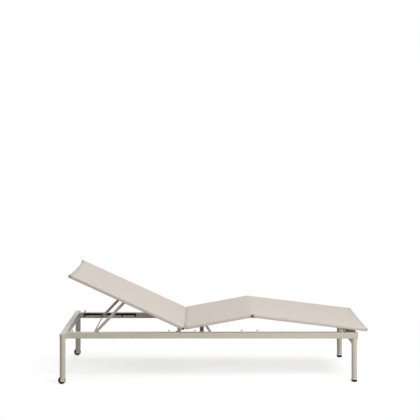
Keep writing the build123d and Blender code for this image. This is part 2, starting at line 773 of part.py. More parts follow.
def support(section, run, length, towards):
    """Upper and lower pivot of a support, as points in the side view."""
    upper = section.from_local_coords((run, 0, 0))
    rise = upper.Z - rod_height
    lower_x = upper.X + towards * sqrt(length**2 - rise**2)
    return (upper.X, upper.Z), (lower_x, rod_height)


def strut(y, ends, width):
    """Flat bar with round ends and a hole at each pivot."""
    upper, lower = ends
    with BuildPart() as bar:
        with BuildSketch(upright_plane(y)) as outline:
            with Locations(upper, lower):
                Circle(width / 2)
            make_hull(outline.edges())
            with Locations(upper):
                Circle(pivot_rod_diameter / 2 + running_fit, mode=Mode.SUBTRACT)
            with Locations(lower):
                Circle(support_rod_diameter / 2 + running_fit, mode=Mode.SUBTRACT)
        extrude(amount=strut_thickness / 2, both=True)
    return bar.part


back_ends = support(back_plane, back_pivot_run, back_strut_length, -1)
seat_ends = support(seat_plane, seat_pivot_run, seat_strut_length, 1)
for side, sign in both_sides:
    save(strut(sign * strut_y, back_ends, back_strut_width), f"back_strut_{side}")
seat_struts = strut(-strut_y, seat_ends, seat_strut_width) + strut(strut_y, seat_ends, seat_strut_width)
save(seat_struts, "seat_struts")

with BuildPart() as back_support_rod:
    with BuildSketch(upright_plane(0)):
        with Locations(back_ends[1]):
            Circle(support_rod_diameter / 2)
    extrude(amount=rail_inner_y - rod_end_gap, both=True)
save(back_support_rod.part, "back_support_rod")

pin_outer_y = rail_inner_y - rod_end_gap
pin_inner_y = strut_y - strut_thickness / 2
with BuildPart() as seat_support_pins:
    for side, sign in both_sides:
        with BuildSketch(upright_plane(sign * (pin_outer_y + pin_inner_y) / 2)):
            with Locations(seat_ends[1]):
                Circle(support_rod_diameter / 2)
        extrude(amount=(pin_outer_y - pin_inner_y) / 2, both=True)
save(seat_support_pins.part, "seat_support_pins")


# Fabric: a stretched sheet on each section, with a sleeve round each side tube

sheet_half = tube_outer_y - bed_tube_radius
notch_y = sheet_half - sling_corner_inset + bed_tube_radius


def sling(section, start, end, notch_near=0.0, notch_end=0.0, scallop=0.0):
    """Sheet over the side tubes, notched beside its pivots and curved at a free end."""
    with BuildPart() as sheet:
        with BuildSketch(section.offset(fabric_low)):
            with BuildLine():
                Polyline((end, -sheet_half), (start, -sheet_half), (start, sheet_half), (end, sheet_half))
                if scallop:
                    ThreePointArc((end, sheet_half), (end - scallop, 0), (end, -sheet_half))
                else:
                    Line((end, sheet_half), (end, -sheet_half))
            make_face()
            for notch, where, towards in ((notch_near, start, 1), (notch_end, end, -1)):
                if notch:
                    notch_width = sheet_half - notch_y
                    for side, sign in both_sides:
                        with Locations((where + towards * notch / 2, sign * (sheet_half + notch_y) / 2)):
                            Rectangle(notch, notch_width, mode=Mode.SUBTRACT)
        extrude(amount=fabric_thickness)
    return sheet.part


def sleeves(section, start, end):
    """Fabric round the outer side and the underside of each side tube."""
    wrap = 2 * fabric_high
    lining = 2 * fabric_low
    with BuildPart() as pair:
        for side, sign in both_sides:
            outward = sign * round(section.y_dir.Y)
            with BuildSketch(cross_plane(section, start, sign * tube_y)):
                RectangleRounded(
                    bed_tube_width - bed_tube_height + wrap,
                    wrap,
                    bed_tube_radius + slip_gap + fabric_thickness,
                )
                RectangleRounded(
                    bed_tube_width - bed_tube_height + lining,
                    lining,
                    bed_tube_radius + slip_gap,
                    mode=Mode.SUBTRACT,
                )
                with Locations((outward * (sheet_half - tube_y - bed_tube_width), wrap / 2)):
                    Rectangle(2 * bed_tube_width, wrap, mode=Mode.SUBTRACT)
                with Locations((outward * (tube_inner_y + sleeve_return - tube_y - bed_tube_width), 0)):
                    Rectangle(2 * bed_tube_width, 2 * wrap, mode=Mode.SUBTRACT)
            extrude(amount=end - start)
    return pair.part


back_end = back_length - sling_end_inset
leg_end = leg_length - sling_end_inset
seat_end = seat_length - sling_knee_gap
back_sling = sling(
    back_plane,
    -sling_back_overlap,
    back_end,
    notch_near=sling_back_overlap + sleeve_back_start,
    scallop=head_scallop,
)
seat_sling = sling(seat_plane, sling_seat_start, seat_end, notch_near=sleeve_seat_start - sling_seat_start)
save(back_sling, "back_sling")
save(seat_sling, "seat_sling")
save(sling(leg_plane, sling_knee_gap, leg_end), "leg_sling")
save(sleeves(back_plane, sleeve_back_start, back_end), "back_sleeves")
save(sleeves(seat_plane, sleeve_seat_start, seat_length - sleeve_knee_gap), "seat_sleeves")
save(sleeves(leg_plane, sleeve_knee_gap, leg_end), "leg_sleeves")
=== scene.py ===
import itertools
import json
import math

import bpy
import numpy as np
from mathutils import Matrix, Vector


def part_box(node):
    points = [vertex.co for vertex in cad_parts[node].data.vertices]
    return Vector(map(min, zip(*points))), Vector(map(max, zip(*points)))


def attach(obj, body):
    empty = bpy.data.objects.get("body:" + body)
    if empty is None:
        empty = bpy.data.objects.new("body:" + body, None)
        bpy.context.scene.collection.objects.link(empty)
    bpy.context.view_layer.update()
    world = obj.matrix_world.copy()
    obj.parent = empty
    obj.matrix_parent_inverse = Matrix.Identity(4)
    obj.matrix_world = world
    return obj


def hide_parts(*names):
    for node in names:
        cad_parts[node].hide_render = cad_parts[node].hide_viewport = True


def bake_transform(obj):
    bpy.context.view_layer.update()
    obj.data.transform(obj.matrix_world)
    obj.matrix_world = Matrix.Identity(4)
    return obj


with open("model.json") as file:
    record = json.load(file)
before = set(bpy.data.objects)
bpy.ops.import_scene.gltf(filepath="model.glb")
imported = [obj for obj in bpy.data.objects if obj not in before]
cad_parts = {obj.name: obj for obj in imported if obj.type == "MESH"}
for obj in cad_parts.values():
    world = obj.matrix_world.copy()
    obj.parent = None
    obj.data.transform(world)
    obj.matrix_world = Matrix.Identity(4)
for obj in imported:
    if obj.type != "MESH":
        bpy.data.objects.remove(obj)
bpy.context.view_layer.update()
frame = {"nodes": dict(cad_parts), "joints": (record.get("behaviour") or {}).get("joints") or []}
nodes = frame["nodes"]
joints = {joint["name"]: joint for joint in frame["joints"]}

SAME_PLACE = 1e-5  # two places closer than this, in metres, are the same
SQUARE = ((-1, -1), (1, -1), (1, 1), (-1, 1))  # the signs of a square's corners, one after another


# Used all through the script


def new_object(name, data):
    """An object of some data, put into the scene."""
    made = bpy.data.objects.new(name, data)
    bpy.context.scene.collection.objects.link(made)
    return made


def mesh_piece(name, points, faces, *materials):
    """A piece made of points and faces, with its materials in the order of their slots."""
    mesh = bpy.data.meshes.new(name)
    mesh.from_pydata(points, [], faces)
    for material in materials:
        mesh.materials.append(material)
    return new_object(name, mesh)


def node_points(node):
    """The points of a CAD node's mesh as rows of x, y and z."""
    return np.array([vertex.co for vertex in nodes[node].data.vertices], float)


def middle_and_half(node):
    """The middle and the half size of a CAD node's box."""
    low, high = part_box(node)
    return (low + high) / 2, (high - low) / 2


def smooth(value, low, high):
    """A share that rises from 0 at low to 1 at high, level at both ends."""
    share = min(max((value - low) / (high - low), 0.0), 1.0)
    return share * share * (3 - 2 * share)


# Camera

# It stands level beside the lounger, and its shift brings the lounger into the frame
CAMERA_PLACE = (-0.0861, -6.975, 1.71)
FOCAL_PIXELS = 980.0
IMAGE_PIXELS = 420.0
AXIS_PIXEL = (200.5, 128.4)
SENSOR_WIDTH = 36.0


def make_camera():
    data = bpy.data.cameras.new("camera")
    data.sensor_width = SENSOR_WIDTH
    data.lens = SENSOR_WIDTH * FOCAL_PIXELS / IMAGE_PIXELS
    data.shift_x = (IMAGE_PIXELS / 2 - AXIS_PIXEL[0]) / IMAGE_PIXELS
    data.shift_y = (AXIS_PIXEL[1] - IMAGE_PIXELS / 2) / IMAGE_PIXELS
    camera = new_object("camera", data)
    camera.location = CAMERA_PLACE
    camera.rotation_euler = (math.radians(90), 0, 0)
    bpy.context.scene.camera = camera


make_camera()


# Materials


def linear(red, green, blue):
    """A colour given as it looks on screen, from 0 to 255, in the linear values that sockets take."""
    shares = (value / 255 for value in (red, green, blue))
    return (*((s / 12.92 if s <= 0.04045 else ((s + 0.055) / 1.055) ** 2.4) for s in shares), 1.0)


def grey(level):
    """A neutral colour of one level in the linear values that sockets take."""
    return (level, level, level, 1.0)


class Graph:
    """A tree of nodes, with short ways to add nodes and join them.

    What goes into a socket is a value, or a pair of a node and one of its outputs.
    """

    def __init__(self, tree):
        self.tree = tree

    def add(self, kind, operation=None, **inputs):
        """A node, with its sockets filled by name."""
        node = self.tree.nodes.new(kind)
        if operation:
            node.operation = operation
        for socket, value in inputs.items():
            self.put(node, socket.replace("_", " "), value)
        return node

    def put(self, node, socket, value):
        target = node.inputs[socket]
        if isinstance(value, tuple) and isinstance(value[0], bpy.types.Node):
            self.tree.links.new(value[0].outputs[value[1]], target)
        else:
            target.default_value = value

    def math(self, operation, *values, clamp=False):
        node = self.add("ShaderNodeMath", operation)
        node.use_clamp = clamp
        for index, value in enumerate(values):
            self.put(node, index, value)
        return (node, 0)

    def place(self):
        """Coordinates in metres that stay with the piece."""
        return (self.add("ShaderNodeTexCoord"), "Object")

    def stretched(self, vector, scale):
        """The coordinates times a scale of their own in each direction."""
        return (self.add("ShaderNodeMapping", Vector=vector, Scale=scale), "Vector")

    def noise(self, vector, scale, detail=2.0, roughness=0.5):
        node = self.add("ShaderNodeTexNoise", Vector=vector, Scale=scale, Detail=detail, Roughness=roughness)
        return (node, "Fac")

    def ramp(self, factor, stops):
        """A colour ramp between stops of a place and a colour."""
        node = self.add("ShaderNodeValToRGB", Fac=factor)
        while len(node.color_ramp.elements) < len(stops):
            node.color_ramp.elements.new(0.5)
        for element, (position, colour) in zip(node.color_ramp.elements, stops):
            element.position = position
            element.color = colour
        return (node, "Color")

    def mixed(self, kind, factor, first, second):
        """Two numbers or two colours mixed, where a colour mix multiplies them."""
        node = self.add("ShaderNodeMix")
        node.data_type = kind
        if kind == "RGBA":
            node.blend_type = "MULTIPLY"
        sockets, output = MIX_SOCKETS[kind]
        for socket, value in zip(sockets, (factor, first, second)):
            self.put(node, socket, value)
        return (node, output)

    def seen(self):
        """1 for rays that a picture shows, directly, in gloss or through glass, and 0 for all others."""
        path = self.add("ShaderNodeLightPath")
        direct = self.math("MAXIMUM", (path, "Is Camera Ray"), (path, "Is Glossy Ray"))
        return self.math("MAXIMUM", direct, (path, "Is Transmission Ray"))


# A mix node's sockets for its factor and its two sides, and its output
MIX_SOCKETS = {"FLOAT": ((0, 2, 3), 0), "RGBA": ((0, 6, 7), 2)}


class Shader(Graph):
    """A material round one Principled shader."""

    def __init__(self, name, **sockets):
        self.material = bpy.data.materials.new(name)
        self.material.use_nodes = True
        super().__init__(self.material.node_tree)
        self.principled = self.tree.nodes["Principled BSDF"]
        for socket, value in sockets.items():
            self.put(self.principled, socket.replace("_", " "), value)

    def colour(self, source):
        self.put(self.principled, "Base Color", source)

    def roughness(self, factor, low, high):
        node = self.add("ShaderNodeMapRange", Value=factor, To_Min=low, To_Max=high)
        self.put(self.principled, "Roughness", (node, "Result"))

    def bump(self, height, distance, strength=1.0):
        """A bump of a depth in metres."""
        node = self.add("ShaderNodeBump", Height=height, Distance=distance, Strength=strength)
        self.put(self.principled, "Normal", (node, "Normal"))


NOISE_LOW, NOISE_HIGH = 0.25, 0.75  # nearly all of a noise lies between them


def tones(shader, factor, middle, spread):
    """Colours a little darker to a little lighter than a middle one, by a factor from 0 to 1."""
    darker = tuple(channel * (1 - spread) for channel in middle[:3]) + (1.0,)
    lighter = tuple(min(channel * (1 + spread), 1.0) for channel in middle[:3]) + (1.0,)
    return shader.ramp(factor, [(NOISE_LOW, darker), (NOISE_HIGH, lighter)])


def weighed(shader, first, first_weight, second, second_weight):
    """The sum of two factors, each times its own weight."""
    first = shader.math("MULTIPLY", first, first_weight)
    second = shader.math("MULTIPLY", second, second_weight)
    return shader.math("ADD", first, second)


def powder_coat(name, middle):
    """Matt powder coat with a fine orange peel, faint cloudiness and a little dust in its grain."""
    shader = Shader(name, IOR=1.45)
    place = shader.place()
    cloud = shader.noise(place, scale=7.0, detail=3.0)
    grain = shader.noise(place, scale=1400.0)
    shader.colour(tones(shader, weighed(shader, cloud, 0.7, grain, 0.3), middle, spread=0.045))
    shader.roughness(cloud, low=0.42, high=0.52)
    peel = shader.noise(place, scale=620.0, detail=1.0)
    shader.bump(weighed(shader, peel, 1.0, grain, 0.35), distance=0.00009)
    return shader.material


def steel(name, middle, rough):
    """Turned steel with fine rings and faint stains."""
    shader = Shader(name, Metallic=1.0)
    place = shader.place()
    fine = shader.noise(shader.stretched(place, (1.0, 14.0, 1.0)), scale=420.0, detail=3.0)
    stain = shader.noise(place, scale=60.0, detail=3.0)
    shader.colour(tones(shader, stain, middle, spread=0.10))
    shader.roughness(fine, *rough)
    shader.bump(fine, distance=0.00003)
    return shader.material


def moulded_plastic(name, middle, rough, grain, gloss=0.3):
    """Moulded plastic or rubber with a fine spark-eroded grain and scuffs."""
    shader = Shader(name, Specular_IOR_Level=gloss)
    place = shader.place()
    scuff = shader.noise(place, scale=35.0, detail=4.0, roughness=0.7)
    shader.colour(tones(shader, scuff, middle, spread=0.25))
    shader.roughness(scuff, *rough)
    shader.bump(shader.noise(place, scale=grain), distance=0.00006)
    return shader.material


YARN_PITCH = 0.0021  # between two yarns of the mesh
CROSSING_SHARPNESS = 4.0  # how steeply the yarn on top changes to the one below
FLECK_SCALES = (480.0, 26.0)  # across a yarn and along it
BLOTCH_SCALES = (4.0, 3.0, 1.0)
FLECK_WEIGHT, BLOTCH_WEIGHT = 0.38, 0.24
GAP_SHADE_TONE = 0.80  # painted shade between the yarns, as a share of their own tone
GAP_SHADE_EDGE = 0.45  # the share of a yarn's height at which the painted shade ends and its own tone begins


def sling_mesh(name, middle, doubled_tone):
    """Woven coated yarn in a two by two basket, flecked along the yarns, with painted shade between the
    yarns, darker where it is doubled.
    """
    shader = Shader(name, Roughness=0.75, Specular_IOR_Level=0.25, Sheen_Weight=0.08, Sheen_Roughness=0.5)
    uv = shader.add("ShaderNodeUVMap")
    uv.uv_map = "weave"
    cloth_place = (uv, "UV")
    split = shader.add("ShaderNodeSeparateXYZ", Vector=cloth_place)
    turns = 2 * math.pi / YARN_PITCH
    yarns, crossings = [], []
    for axis in "XY":
        turned = shader.math("MULTIPLY", (split, axis), turns)
        yarns.append(shader.math("ABSOLUTE", shader.math("SINE", shader.math("MULTIPLY", turned, 0.5))))
        crossings.append(shader.math("SINE", shader.math("MULTIPLY", turned, 0.25)))
    checker = shader.math("MULTIPLY", *crossings)
    on_top = shader.math("MULTIPLY_ADD", checker, CROSSING_SHARPNESS, 0.5, clamp=True)
    height = shader.mixed("FLOAT", on_top, *yarns)
    across, along = FLECK_SCALES
    flecks = []
    for scales in ((across, along, 1.0), (along, across, 1.0)):
        stretched = shader.stretched(cloth_place, scales)
        flecks.append(shader.noise(stretched, scale=1.0, detail=3.0, roughness=0.7))
    blotch = shader.noise(shader.stretched(cloth_place, BLOTCH_SCALES), scale=1.0)
    marks = weighed(shader, shader.math("ADD", *flecks), FLECK_WEIGHT, blotch, BLOTCH_WEIGHT)
    tone = tones(shader, marks, middle, spread=0.05)
    gap_shade = shader.ramp(height, [(0.0, grey(GAP_SHADE_TONE)), (GAP_SHADE_EDGE, grey(1.0))])
    shaded_weave = shader.mixed("RGBA", 1.0, tone, gap_shade)
    doubled = shader.add("ShaderNodeAttribute")
    doubled.attribute_name = "doubled"
    shader.colour(shader.mixed("RGBA", (doubled, "Fac"), shaded_weave, grey(doubled_tone)))
    shader.bump(height, distance=0.00011, strength=0.7)
    return shader.material


def thread(name, middle):
    """Twisted sewing thread."""
    shader = Shader(name, Roughness=0.6, Sheen_Weight=0.2)
    twist = shader.noise(shader.place(), scale=2500.0, detail=1.0)
    shader.colour(tones(shader, twist, middle, spread=0.12))
    shader.bump(twist, distance=0.00008)
    return shader.material


slot_materials = {
    "frame_coat": powder_coat("frame_coat", linear(205, 197, 180)),
    # The struts' coat is darkened as painted shade, for struts that stand in the bed's shadow
    "strut_coat": powder_coat("strut_coat", linear(180, 171, 156)),
    "pale_coat": powder_coat("pale_coat", linear(226, 220, 208)),
    "rod_coat": powder_coat("rod_coat", linear(188, 179, 162)),
    "sling_mesh": sling_mesh("sling_mesh", linear(216, 206, 196), doubled_tone=0.89),
    "sling_edge": sling_mesh("sling_edge", linear(209, 201, 193), doubled_tone=0.94),
    "dark_plastic": moulded_plastic("dark_plastic", linear(42, 41, 40), rough=(0.45, 0.62), grain=900.0),
    # The rest blocks' plastic is lightened as painted light, to make up for the shade they stand in under
    # the bed
    "rest_plastic": moulded_plastic("rest_plastic", linear(168, 157, 142), rough=(0.45, 0.60), grain=900.0),
    # Matt black plastic of the glides and wheel housings, also used for the painted shade inside the side
    # rails
    "liner_plastic": moulded_plastic("liner_plastic", linear(12, 12, 12), rough=(0.85, 0.95), grain=900.0),
    "wheel_plastic": moulded_plastic("wheel_plastic", linear(44, 43, 42), rough=(0.38, 0.55), grain=700.0),
    "tyre": moulded_plastic("tyre", linear(16, 16, 16), rough=(0.80, 0.92), grain=500.0, gloss=0.12),
    "dark_hardware": steel("dark_hardware", linear(62, 60, 58), rough=(0.38, 0.55)),
    "bright_hardware": steel("bright_hardware", linear(200, 198, 194), rough=(0.22, 0.40)),
}
sewing_thread = thread("sewing_thread", linear(222, 216, 208))

# Each CAD node gets its slots' materials by name, and the glides get the blackest plastic
for node in nodes.values():
    for slot in node.material_slots:
        slot.material = slot_materials[slot.material.name.split(".")[0]]
for slot in nodes["foot_glides"].material_slots:
    slot.material = slot_materials["liner_plastic"]


# Bed sections

hinge = Vector(joints["back_recline"]["pos_m"])
knee = Vector(joints["knee_fold"]["pos_m"])


class Section:
    """A bed section's own axes: run from its pivot, side towards the far side, height above its middle."""

    def __init__(self, pivot, towards, prefix):
        self.pivot = Vector((pivot[0], 0, pivot[2]))
        low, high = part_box(towards)
        middle = (low + high) / 2
        self.along = Vector((middle.x - pivot[0], 0, middle.z - pivot[2])).normalized()
        self.up = Vector((-self.along.z, 0, self.along.x))
        if self.up.z < 0:
            self.up = -self.up
        self.prefix = prefix

    def local(self, node):
        """A node's points as run, side and height."""
        points = node_points(node) - np.array(self.pivot)
        return np.stack([points @ np.array(self.along), points[:, 1], points @ np.array(self.up)], 1)

    def point(self, run, side, height):
        return self.pivot + self.along * run + Vector((0, side, 0)) + self.up * height


back = Section(hinge, "back_pivot_rod", "back")
seat = Section(hinge, "knee_bolts", "seat")
leg = Section(knee, "leg_rest_bar", "leg")
knee_run = (knee - seat.pivot).dot(seat.along)  # along the seat, from the hinge
knee_turn = math.acos(seat.along.dot(leg.along))

back_sheet = back.local("back_sling")
seat_sheet = seat.local("seat_sling")
leg_sheet = leg.local("leg_sling")
back_wrap = back.local("back_sleeves")
seat_wrap = seat.local("seat_sleeves")
leg_wrap = leg.local("leg_sleeves")

CLOTH = back_sheet[:, 2].max() - back_sheet[:, 2].min()  # thickness of the fabric
COVER = (back_sheet[:, 2].max() + back_sheet[:, 2].min()) / 2  # its middle above the tubes' middle
SHEET_SIDE = back_sheet[:, 1].max()  # where its flat top ends
WRAP_SIDE = back_wrap[:, 1].max() - CLOTH / 2  # its middle beside the tubes
CORNER = WRAP_SIDE - SHEET_SIDE  # radius round the tubes' edges
TUBE_SIDE = back.local("back_tube_far")[:, 1].min()  # inner face of the far tube
WRAP_INNER = back_wrap[back_wrap[:, 1] > 0][:, 1].min()  # where the fabric ends under the tube
NOTCH_SIDE = back_sheet[back_sheet[:, 0] < 0][:, 1].max()  # width of the sheet beside a pivot

SAG = 0.0032  # of the sheet's middle below the tubes' tops
SAG_ON_BAR = 0.0012  # the same above a straight bar
SAG_FULLNESS = 1.3  # 1 is a parabola across the bed, and more is flatter beside the tubes
BAR_REACH = 0.16  # how far along the bed a straight bar holds the sag up
TAIL_SAG_REACH = 0.08  # from the hinge to where the back's sag is full
KNEE_REACH = 0.024  # from the knee to where the sheet between the tubes starts to turn
SCALLOP_REACH = 0.25  # from the back's edge to where its inward curve starts
HEM_WIDTH = 0.020
HEM_FADE = 0.0008  # from single cloth to the doubled hem's tone
HEM_MARGIN = 0.003  # between a folded hem and the tube beside it
FOLD_RADIUS = 0.00065  # of a hem's fold, at the cloth's middle
FOLD_DEGREES = (45, 90, 135, 180)
RETURN_SHARES = (0.15, 0.5, 0.85, 1.0)  # of a hem's width, back from its fold
ROW_STEP = 0.018
SPAN_COLUMNS = 26
CORNER_COLUMNS = 5
UNDER_SHARES = (0.0, 0.35, 0.7)  # of a tube's flat underside, from the fabric's end
TOP_SHARE = 0.4  # of a tube's flat top, from its outer side, to the column between its two sides


def profile():
    """The fabric's line across the bed as side, height and kind, from under one tube to under the other."""
    flat_side = WRAP_SIDE - CORNER
    points = []
    for share in UNDER_SHARES:
        points.append((WRAP_INNER + share * (flat_side - WRAP_INNER), -COVER, "under"))
    for step in range(CORNER_COLUMNS + 1):
        turn = math.radians(90 * step / CORNER_COLUMNS)
        side = flat_side + CORNER * math.sin(turn)
        points.append((side, -(COVER - CORNER) - CORNER * math.cos(turn), "side"))
    points.append((WRAP_SIDE, 0.0, "side"))
    for step in range(CORNER_COLUMNS):
        turn = math.radians(90 * step / CORNER_COLUMNS)
        side = flat_side + CORNER * math.cos(turn)
        points.append((side, COVER - CORNER + CORNER * math.sin(turn), "side"))
    on_tube = SHEET_SIDE - TOP_SHARE * (SHEET_SIDE - TUBE_SIDE)
    edges = [SHEET_SIDE, on_tube, TUBE_SIDE, TUBE_SIDE - HEM_MARGIN]
    span = np.linspace(NOTCH_SIDE, -NOTCH_SIDE, SPAN_COLUMNS + 1)
    far_half = points + [(side, COVER, "top") for side in edges]
    near_half = [(-side, height, kind) for side, height, kind in reversed(far_half)]
    return far_half + [(side, COVER, "top") for side in span] + near_half


PROFILE = profile()
PROFILE_STEPS = [math.dist(first[:2], second[:2]) for first, second in zip(PROFILE, PROFILE[1:])]
PROFILE_RUN = np.concatenate([[0.0], np.cumsum(PROFILE_STEPS)])
STRAIGHT_BARS = ((back, "back_pivot_rod"), (seat, "seat_pivot_rod"), (leg, "leg_rest_bar"))
BAR_RUN = {section.prefix: float(section.local(bar)[:, 0].mean()) for section, bar in STRAIGHT_BARS}


def off_middle(side):
    """How far a place lies from the bed's middle, as a share of the way to a tube."""
    return min(abs(side) / TUBE_SIDE, 1.0)


def sag_at(section, run, side):
    """How far the stretched sheet hangs between the tubes."""
    held = smooth(BAR_REACH - abs(run - BAR_RUN[section.prefix]), 0.0, BAR_REACH)
    depth = SAG - (SAG - SAG_ON_BAR) * held
    return depth * (1 - off_middle(side) ** 2) ** SAG_FULLNESS


def knee_drop(distance, side):
    """How far the sheet rounds off the knee's corner between the tubes."""
    if distance >= KNEE_REACH:
        return 0.0
    corner = math.tan(knee_turn / 2) * (KNEE_REACH - distance) ** 2 / (2 * KNEE_REACH)
    return corner * math.sqrt(1 - off_middle(side) ** 2)


class Row:
    """One line of the sheet's grid: a place along a section, turned and dropped from its plane.

    The limit names how wide the sheet is there, and doubled is 1 where the cloth lies double.
    """

    def __init__(
        self, section, run, turn=0.0, drop=0.0, limit="full", sagging=1.0, doubled=0.0, from_knee=KNEE_REACH
    ):
        self.section, self.run, self.turn, self.drop = section, run, turn, drop
        self.limit, self.sagging, self.doubled = limit, sagging, doubled
        self.from_knee = from_knee
        self.edge_run, self.scallop = None, 0.0

    def point(self, side, height, kind):
        section = self.section
        if kind == "top":
            height -= self.sagging * sag_at(section, self.run, side) + knee_drop(self.from_knee, side)
        height -= self.drop
        run = self.run
        if self.scallop:
            inward = self.scallop * max(0.0, 1 - (side / SHEET_SIDE) ** 2)
            run -= inward * smooth(run, self.edge_run - SCALLOP_REACH, self.edge_run)
        if self.turn:
            along, up = math.sin(self.turn), math.cos(self.turn)
            return section.point(run + height * along, side, height * up)
        return section.point(run, side, height)


# How far from the middle a row reaches by its limit, where a full row goes round both tubes
ROW_REACH = {"top": SHEET_SIDE, "hem": TUBE_SIDE - HEM_MARGIN, "notch": NOTCH_SIDE}


def column_used(column, limit):
    """Whether a row with this limit reaches a column of the profile."""
    side, _, kind = PROFILE[column]
    return limit == "full" or (kind == "top" and abs(side) <= ROW_REACH[limit] + SAME_PLACE)


def sheet_object(name, rows):
    """One sheet from its rows, with the weave's own coordinates in metres, and the sheet's flat length."""
    grid = [[row.point(*column) for column in PROFILE] for row in rows]
    middle = len(PROFILE) // 2
    lengthwise = [0.0]
    for first, second in zip(grid, grid[1:]):
        lengthwise.append(lengthwise[-1] + (second[middle] - first[middle]).length)
    index, points, weave, doubled = {}, [], [], []
    faces, wraps = [], []
    for here, left in itertools.product(range(len(rows) - 1), range(len(PROFILE) - 1)):
        there, right = here + 1, left + 1
        corners = ((here, left), (here, right), (there, right), (there, left))
        if not all(column_used(column, rows[row].limit) for row, column in corners):
            continue
        for row, column in corners:
            if (row, column) not in index:
                index[row, column] = len(points)
                points.append(grid[row][column])
                weave.append((PROFILE_RUN[column], lengthwise[row]))
                doubled.append(rows[row].doubled)
        faces.append([index[corner] for corner in corners])
        wraps.append(any(PROFILE[column][2] != "top" for column in (left, right)))
    piece = mesh_piece(name, points, faces, slot_materials["sling_mesh"], slot_materials["sling_edge"])
    mesh = piece.data
    layer = mesh.uv_layers.new(name="weave")
    for loop in mesh.loops:
        layer.data[loop.index].uv = weave[loop.vertex_index]
    attribute = mesh.attributes.new("doubled", "FLOAT", "POINT")
    attribute.data.foreach_set("value", doubled)
    mesh.polygons.foreach_set("material_index", [int(wrap) for wrap in wraps])
    mesh.polygons.foreach_set("use_smooth", [True] * len(faces))
    mesh.update()
    solid = piece.modifiers.new("thickness", "SOLIDIFY")
    solid.thickness = CLOTH
    solid.offset = 0.0
    return piece, lengthwise[-1]


def hem_rows(section, edge_run, outward):
    """Rows of a folded hem at a section's edge, from the fold to the end of the return."""
    rows = []
    for degrees in FOLD_DEGREES:
        turn = math.radians(degrees)
        run = edge_run + outward * FOLD_RADIUS * math.sin(turn)
        rows.append((run, FOLD_RADIUS * (1 - math.cos(turn))))
    for share in RETURN_SHARES:
        rows.append((edge_run - outward * share * HEM_WIDTH, 2 * FOLD_RADIUS))
    return [Row(section, run, drop=drop, limit="hem", doubled=1.0) for run, drop in rows]


def straight_runs(start, end, marks):
    """Evenly spaced runs from start to end, with the marked places among them."""
    count = max(2, round((end - start) / ROW_STEP))
    runs = set(np.linspace(start, end, count + 1).tolist())
    runs = {run for run in runs if all(abs(run - mark) > ROW_STEP / 3 for mark in marks)}
    return sorted(runs | set(marks) | {start, end})


# Back sling: its tail turns down round the hinge axis and tucks in under the seat's edge

TAIL_TURN = 100  # degrees
TAIL_STEPS = 10
back_edge = back_sheet[:, 0].max()
middle_strip = back_sheet[np.abs(back_sheet[:, 1]) < SHEET_SIDE / 2]
back_scallop = float(back_edge - middle_strip[:, 0].max())
back_wrap_start = back_wrap[:, 0].min()
back_hem = back_edge - HEM_WIDTH

back_rows = []
for step in range(TAIL_STEPS, 0, -1):
    turn = -math.radians(TAIL_TURN * step / TAIL_STEPS)
    back_rows.append(Row(back, 0.0, turn=turn, limit="notch", sagging=0.0))
for run in straight_runs(0.0, back_edge, (back_wrap_start, back_hem - HEM_FADE, back_hem)):
    limit = "full" if run >= back_wrap_start - SAME_PLACE else "notch"
    sagging = smooth(run, 0.0, TAIL_SAG_REACH)
    doubled = float(run >= back_hem - SAME_PLACE)
    back_rows.append(Row(back, run, limit=limit, sagging=sagging, doubled=doubled))
back_rows += hem_rows(back, back_edge, 1)
for row in back_rows:
    row.edge_run, row.scallop = back_edge, back_scallop
back_cloth, back_flat_length = sheet_object("back_sling_cloth", back_rows)


# Seat and leg sling: one sheet over the knee

KNEE_MARKS = (0.005, 0.010, 0.017, KNEE_REACH)  # from the knee to the rows that round it off
KNEE_SHARES = (0.25, 0.5, 0.75)  # of the turn, in the knee itself
seat_edge = seat_sheet[:, 0].min()
seat_hem = seat_edge + HEM_WIDTH
seat_wrap_start, seat_wrap_end = seat_wrap[:, 0].min(), seat_wrap[:, 0].max()
leg_edge = leg_sheet[:, 0].max()
leg_hem = leg_edge - HEM_WIDTH
leg_wrap_start = leg_wrap[:, 0].min()

long_rows = list(reversed(hem_rows(seat, seat_edge, -1)))
marks = (seat_hem, seat_hem + HEM_FADE, seat_wrap_start, seat_wrap_end)
for run in straight_runs(seat_edge, knee_run, marks + tuple(knee_run - mark for mark in KNEE_MARKS)):
    limit = "full" if run < seat_wrap_end + SAME_PLACE else "top"
    if run < seat_wrap_start - SAME_PLACE:
        limit = "notch"
    doubled = float(run <= seat_hem + SAME_PLACE)
    long_rows.append(Row(seat, run, limit=limit, doubled=doubled, from_knee=knee_run - run))
for share in KNEE_SHARES:
    long_rows.append(Row(seat, knee_run, turn=share * knee_turn, limit="top", from_knee=0.0))
for run in straight_runs(0.0, leg_edge, KNEE_MARKS + (leg_wrap_start, leg_hem - HEM_FADE, leg_hem)):
    limit = "full" if run >= leg_wrap_start - SAME_PLACE else "top"
    doubled = float(run >= leg_hem - SAME_PLACE)
    long_rows.append(Row(leg, run, limit=limit, doubled=doubled, from_knee=run))
long_rows += hem_rows(leg, leg_edge, 1)
long_cloth, long_flat_length = sheet_object("seat_and_leg_sling_cloth", long_rows)


# Stitches

STITCH_LENGTH = 0.0034
STITCH_PITCH = 0.0046
STITCH_RADIUS = 0.00042
SEAM_INSET = 0.003  # from a hem's inner edge
SIDE_SEAM_INSET = 0.004  # from the fabric's end under a tube
PEG_SPACING = 0.05  # two pegs stand further apart than this

# A stitch from end to end: share of its length, share of its full width, and lift in radii
STITCH_RINGS = ((0.0, 0.35, -0.9), (0.22, 1.0, 0.1), (0.5, 1.0, 0.45), (0.78, 1.0, 0.1), (1.0, 0.35, -0.9))
STITCH_CORNERS = 4


class Gathered:
    """Many small shapes in one smooth mesh that rides on a body."""

    def __init__(self, material, slot):
        self.points, self.faces = [], []
        self.material, self.slot = material, slot

    def object(self, name, body):
        piece = mesh_piece(name, self.points, self.faces, self.material)
        piece.data.polygons.foreach_set("use_smooth", [True] * len(self.faces))
        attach(piece, body)
        return piece


